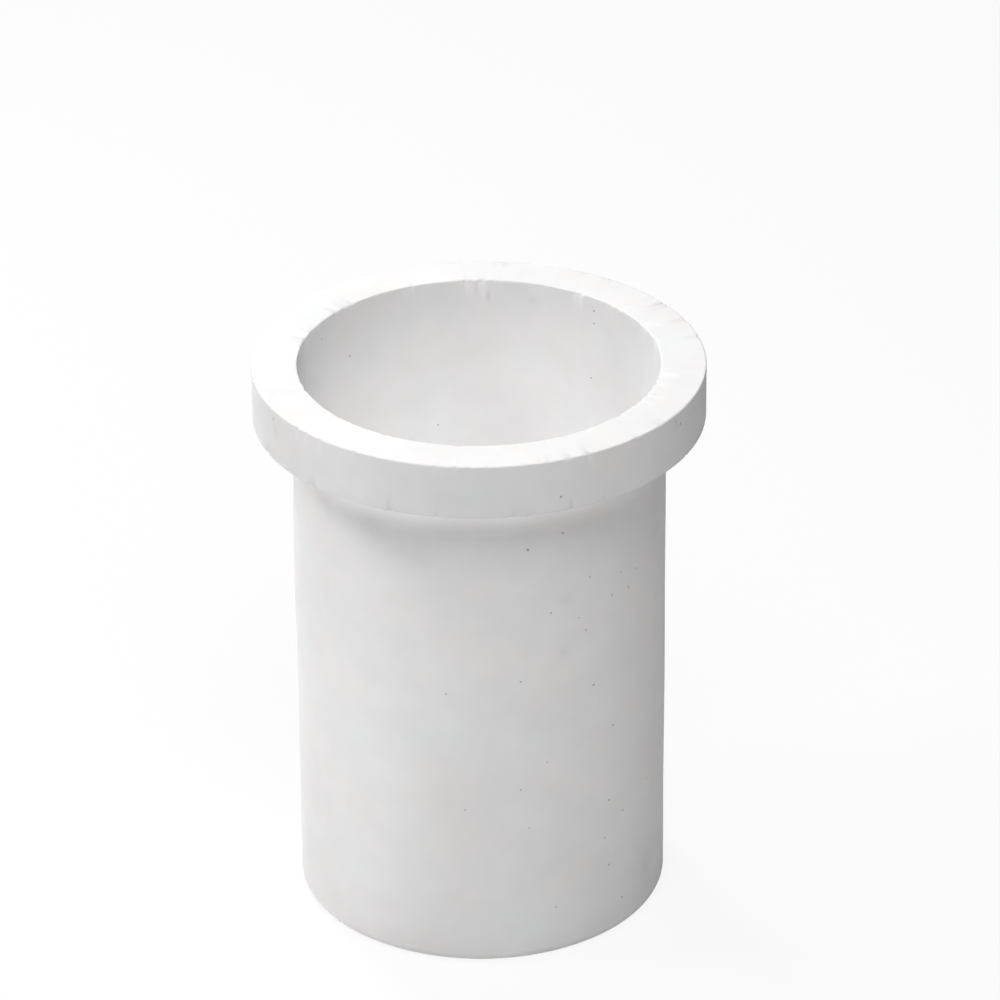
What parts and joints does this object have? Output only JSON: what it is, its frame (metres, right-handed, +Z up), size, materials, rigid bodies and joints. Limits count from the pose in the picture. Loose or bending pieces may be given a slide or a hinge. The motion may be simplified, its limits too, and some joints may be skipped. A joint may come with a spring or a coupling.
{
  "type": "flanged foundry crucible",
  "caption": "One-piece round refractory crucible: straight pot on a flat base, thick plain flange round a wide open mouth, tapered melt space with a round-cornered floor.",
  "frame": {"origin": "centre of the flat base, on the surface that the crucible stands on", "axes": "+Z up the axis of the pot, out of the mouth; the object is round, so X and Y are free, and -Y is the side shown to the camera"},
  "size_m": [0.2, 0.2, 0.26],
  "materials": {
    "refractory": "matte"
  },
  "bodies": {
    "root": {"crucible": "refractory"}
  },
  "joints": []
}
